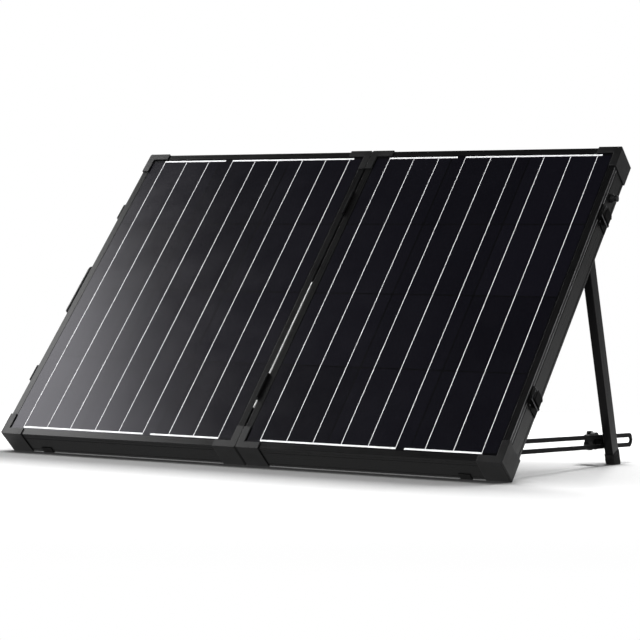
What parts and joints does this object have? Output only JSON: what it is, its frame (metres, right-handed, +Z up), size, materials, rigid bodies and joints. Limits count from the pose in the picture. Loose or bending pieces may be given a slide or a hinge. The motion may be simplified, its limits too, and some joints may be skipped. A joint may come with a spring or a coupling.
{
  "type": "solar suitcase kit",
  "caption": "Folding solar suitcase: framed panels hinged edge to edge, opened out and leaned back on prop legs with slotted struts, clamp knobs, latches and a carry handle.",
  "frame": {"origin": "on the ground under the middle of the opened kit's box", "axes": "+X to the right seen from the front, +Y to the back, +Z up"},
  "size_m": [1.049, 0.6177, 0.5672],
  "materials": {
    "frame": "black anodised, satin",
    "moulded": "black moulded, fine grain",
    "rubber": "matte black",
    "glass": "clear front glass",
    "ribbon": "tinned ribbon",
    "cell": "dark blue-black cell",
    "backsheet": "black sheet",
    "steel": "zinc plated",
    "dark_steel": "black powder coat"
  },
  "bodies": {
    "right_panel": {"right_outer_rail": "frame", "right_inner_rail": "frame", "right_top_rail": "frame", "right_bottom_rail": "frame", "right_corner_caps": "moulded", "right_corner_keys": "steel", "right_edge_bumper": "rubber", "right_glass": "glass", "right_ribbons": "ribbon", "right_cells": "cell", "right_backsheet": "backsheet", "right_junction_box": "moulded", "right_junction_lid": "moulded", "right_lead_glands": "moulded", "right_leg_bracket": "moulded", "right_leg_pin": "steel", "right_strut_bracket": "moulded", "right_strut_pin": "steel", "right_hinge_leaves": "dark_steel", "right_fasteners": "dark_steel", "hinge_pins": "steel", "latch_bases": "dark_steel", "outlet_plug": "moulded"},
    "left_panel": {"left_outer_rail": "frame", "left_inner_rail": "frame", "left_top_rail": "frame", "left_bottom_rail": "frame", "left_corner_caps": "moulded", "left_corner_keys": "steel", "left_edge_bumper": "rubber", "left_glass": "glass", "left_ribbons": "ribbon", "left_cells": "cell", "left_backsheet": "backsheet", "left_junction_box": "moulded", "left_junction_lid": "moulded", "left_lead_glands": "moulded", "left_leg_bracket": "moulded", "left_leg_pin": "steel", "left_strut_bracket": "moulded", "left_strut_pin": "steel", "left_hinge_leaves": "dark_steel", "left_fasteners": "dark_steel", "latch_keepers": "dark_steel", "handle_brackets": "dark_steel"},
    "right_leg": {"right_leg_tube": "frame", "right_leg_foot": "rubber"},
    "right_strut": {"right_strut": "dark_steel"},
    "right_clamp": {"right_clamp_bolt": "dark_steel"},
    "right_knob": {"right_clamp_knob": "moulded"},
    "left_leg": {"left_leg_tube": "frame", "left_leg_foot": "rubber"},
    "left_strut": {"left_strut": "dark_steel"},
    "left_clamp": {"left_clamp_bolt": "dark_steel"},
    "left_knob": {"left_clamp_knob": "moulded"},
    "upper_latch_lever": {"upper_latch_lever": "dark_steel"},
    "upper_latch_bail": {"upper_latch_bail": "steel"},
    "lower_latch_lever": {"lower_latch_lever": "dark_steel"},
    "lower_latch_bail": {"lower_latch_bail": "steel"},
    "handle": {"handle_grip": "moulded"}
  },
  "joints": [
    {"name": "panel_fold", "type": "hinge", "parent": "right_panel", "child": "left_panel", "pos_m": [0.00675, -0.07653, 0.30073], "axis": [0, 0.6574, 0.7536], "range_deg": [0, 180]},
    {"name": "right_leg_fold", "type": "hinge", "parent": "right_panel", "child": "right_leg", "pos_m": [0.4875, 0.05706, 0.40899], "axis": [1, 0, 0], "range_deg": [-60.5, 0]},
    {"name": "right_strut_fold", "type": "hinge", "parent": "right_panel", "child": "right_strut", "pos_m": [0.4795, -0.25447, 0.05188], "axis": [1, 0, 0], "range_deg": [0, 50.31]},
    {"name": "right_clamp_slide", "type": "slide", "parent": "right_strut", "child": "right_clamp", "axis": [0, 0.9997, -0.0244], "range_m": [-0.35737, 0]},
    {"name": "right_knob_turn", "type": "hinge", "parent": "right_clamp", "child": "right_knob", "pos_m": [0.4875, 0.1866, 0.04113], "axis": [1, 0, 0], "continuous": true},
    {"name": "left_leg_fold", "type": "hinge", "parent": "left_panel", "child": "left_leg", "pos_m": [-0.474, 0.05706, 0.40899], "axis": [1, 0, 0], "range_deg": [-60.5, 0]},
    {"name": "left_strut_fold", "type": "hinge", "parent": "left_panel", "child": "left_strut", "pos_m": [-0.466, -0.25447, 0.05188], "axis": [1, 0, 0], "range_deg": [0, 50.31]},
    {"name": "left_clamp_slide", "type": "slide", "parent": "left_strut", "child": "left_clamp", "axis": [0, 0.9997, -0.0244], "range_m": [-0.35737, 0]},
    {"name": "left_knob_turn", "type": "hinge", "parent": "left_clamp", "child": "left_knob", "pos_m": [-0.474, 0.1866, 0.04113], "axis": [1, 0, 0], "continuous": true},
    {"name": "upper_latch_open", "type": "hinge", "parent": "right_panel", "child": "upper_latch_lever", "pos_m": [0.52, 0.08423, 0.43253], "axis": [0, 0.6574, 0.7536], "range_deg": [0, 130]},
    {"name": "upper_bail_swing", "type": "hinge", "parent": "upper_latch_lever", "child": "upper_latch_bail", "pos_m": [0.52, 0.08724, 0.4299], "axis": [0, 0.6574, 0.7536], "range_deg": [0, 45]},
    {"name": "lower_latch_open", "type": "hinge", "parent": "right_panel", "child": "lower_latch_lever", "pos_m": [0.52, -0.18529, 0.12357], "axis": [0, 0.6574, 0.7536], "range_deg": [0, 130]},
    {"name": "lower_bail_swing", "type": "hinge", "parent": "lower_latch_lever", "child": "lower_latch_bail", "pos_m": [0.52, -0.18228, 0.12094], "axis": [0, 0.6574, 0.7536], "range_deg": [0, 45]},
    {"name": "handle_swing", "type": "hinge", "parent": "left_panel", "child": "handle", "pos_m": [-0.505, -0.04764, 0.29278], "axis": [0, 0.6574, 0.7536], "range_deg": [-75, 75]}
  ],
  "couplings": [
    {"joint": "right_strut_fold", "follows": "right_leg_fold", "ratio": -0.83135},
    {"joint": "right_clamp_slide", "follows": "right_leg_fold", "m_per_rad": 0.3384},
    {"joint": "left_strut_fold", "follows": "left_leg_fold", "ratio": -0.83135},
    {"joint": "left_clamp_slide", "follows": "left_leg_fold", "m_per_rad": 0.3384}
  ]
}
